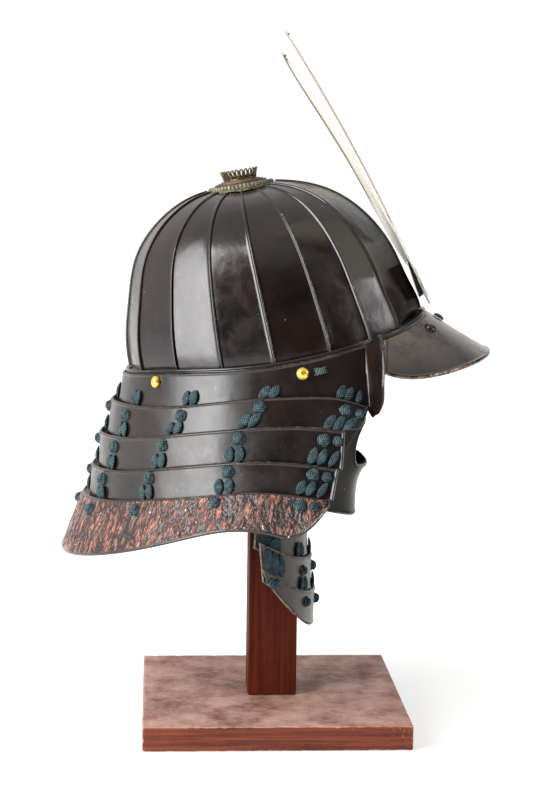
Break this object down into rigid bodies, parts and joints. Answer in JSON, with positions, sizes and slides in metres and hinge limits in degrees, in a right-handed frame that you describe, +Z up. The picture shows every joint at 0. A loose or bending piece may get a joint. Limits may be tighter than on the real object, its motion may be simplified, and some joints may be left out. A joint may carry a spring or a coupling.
{
  "type": "samurai helmet on wooden stand",
  "caption": "Samurai helmet with a ribbed lacquered bowl, peak, horned crest, laced neck guard, chin guard and throat guard, resting on a plain wooden post and board.",
  "frame": {"origin": "centre of the stand board's underside, on the surface it stands on", "axes": "+Z up, +X towards the front of the helmet, +Y towards the wearer's left"},
  "size_m": [0.3328, 0.328, 0.527],
  "materials": {
    "lacquer": "glossy dark brown-black lacquer over iron plates, worn paler on the ribs",
    "steel": "satin grey-brown lacquered iron with a fine tooth",
    "gilt": "soft gilt with dark recesses",
    "pale_gilt": "pale cream gilt sheet, thin grey-brown edges",
    "patina": "old copper alloy with an olive and brown-pink patina",
    "bark": "rough bark-like red-brown lacquer with dark slanting streaks",
    "cord": "braided dark teal silk lacing",
    "wood": "red-brown stained plain timber, a little chipped at the edges"
  },
  "bodies": {
    "root": {"bowl_plate_01": "lacquer", "bowl_plate_02": "lacquer", "bowl_plate_03": "lacquer", "bowl_plate_04": "lacquer", "bowl_plate_05": "lacquer", "bowl_plate_06": "lacquer", "bowl_plate_07": "lacquer", "bowl_plate_08": "lacquer", "bowl_plate_09": "lacquer", "bowl_plate_10": "lacquer", "bowl_plate_11": "lacquer", "bowl_plate_12": "lacquer", "bowl_plate_13": "lacquer", "bowl_plate_14": "lacquer", "bowl_plate_15": "lacquer", "bowl_plate_16": "lacquer", "bowl_rim": "lacquer", "peak": "steel", "peak_rivet_1": "steel", "peak_rivet_2": "steel", "peak_rivet_3": "steel", "crest": "pale_gilt", "crest_holder": "lacquer", "ornament_ring": "patina", "ornament_collar": "patina", "ornament_crown": "gilt", "neck_lame_1": "lacquer", "neck_lame_2": "lacquer", "neck_lame_3": "lacquer", "neck_lame_4": "lacquer", "neck_lame_5": "bark", "gold_rivet_1": "gilt", "gold_rivet_2": "gilt", "gold_rivet_3": "gilt", "gold_rivet_4": "gilt", "neck_lacing_01": "cord", "neck_lacing_02": "cord", "neck_lacing_03": "cord", "neck_lacing_04": "cord", "neck_lacing_05": "cord", "neck_lacing_06": "cord", "neck_lacing_07": "cord", "neck_lacing_08": "cord", "neck_lacing_09": "cord", "neck_lacing_10": "cord", "neck_lacing_11": "cord", "chin_guard": "steel", "throat_lame_1": "steel", "throat_lame_2": "steel", "throat_lame_3": "steel", "throat_lacing_1": "cord", "throat_lacing_2": "cord", "throat_lacing_3": "cord", "throat_lacing_4": "cord", "throat_lacing_5": "cord", "stand_board": "wood", "stand_post": "wood", "stand_head_block": "wood", "stand_chin_peg": "wood"}
  },
  "joints": []
}
